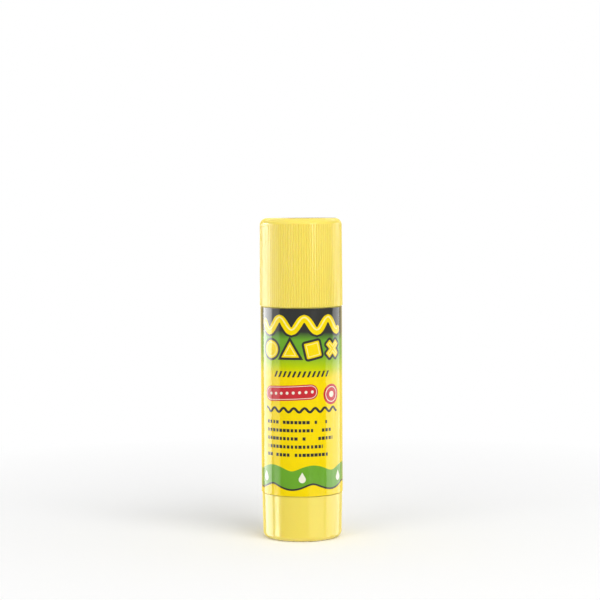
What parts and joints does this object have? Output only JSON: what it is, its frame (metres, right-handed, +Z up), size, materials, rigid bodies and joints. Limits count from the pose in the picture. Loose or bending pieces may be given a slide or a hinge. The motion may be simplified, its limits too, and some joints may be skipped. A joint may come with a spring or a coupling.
{
  "type": "glue stick",
  "caption": "Twist-up glue stick with a finely ribbed pull-off cap, printed label and smooth turning knob at its foot.",
  "frame": {"origin": "centre of the knob's underside, on the plane of the rim that the stick stands on", "axes": "+Z up along the stick, from the knob to the cap; -Y is the printed front, +Y the label's lap"},
  "size_m": [0.0236, 0.0236, 0.0911],
  "materials": {
    "barrel_plastic": "moulded polypropylene, slightly glossy",
    "label_film": "printed gloss film",
    "screw_plastic": "moulded polypropylene",
    "carrier_plastic": "moulded polypropylene",
    "glue": "waxy solid adhesive",
    "knob_plastic": "moulded polypropylene, slightly glossy",
    "cap_plastic": "moulded polypropylene, finely ribbed",
    "liner_plastic": "soft polyethylene"
  },
  "bodies": {
    "barrel": {"barrel": "barrel_plastic", "label": "label_film"},
    "knob": {"knob": "knob_plastic", "feed_screw": "screw_plastic"},
    "carriage": {"glue_carrier": "carrier_plastic", "glue_block": "glue"},
    "cap": {"cap": "cap_plastic", "cap_liner": "liner_plastic"}
  },
  "joints": [
    {"name": "knob_turn", "type": "hinge", "parent": "barrel", "child": "knob", "pos_m": [0, 0, 0], "axis": [0, 0, 1], "range_deg": [0, 4680]},
    {"name": "glue_feed", "type": "slide", "parent": "barrel", "child": "carriage", "axis": [0, 0, 1], "range_m": [0, 0.052]},
    {"name": "cap_pull", "type": "slide", "parent": "carriage", "child": "cap", "axis": [0, 0, 1], "range_m": [0, 0.045]}
  ],
  "couplings": [
    {"joint": "glue_feed", "follows": "knob_turn", "m_per_rad": 0.00063662}
  ]
}
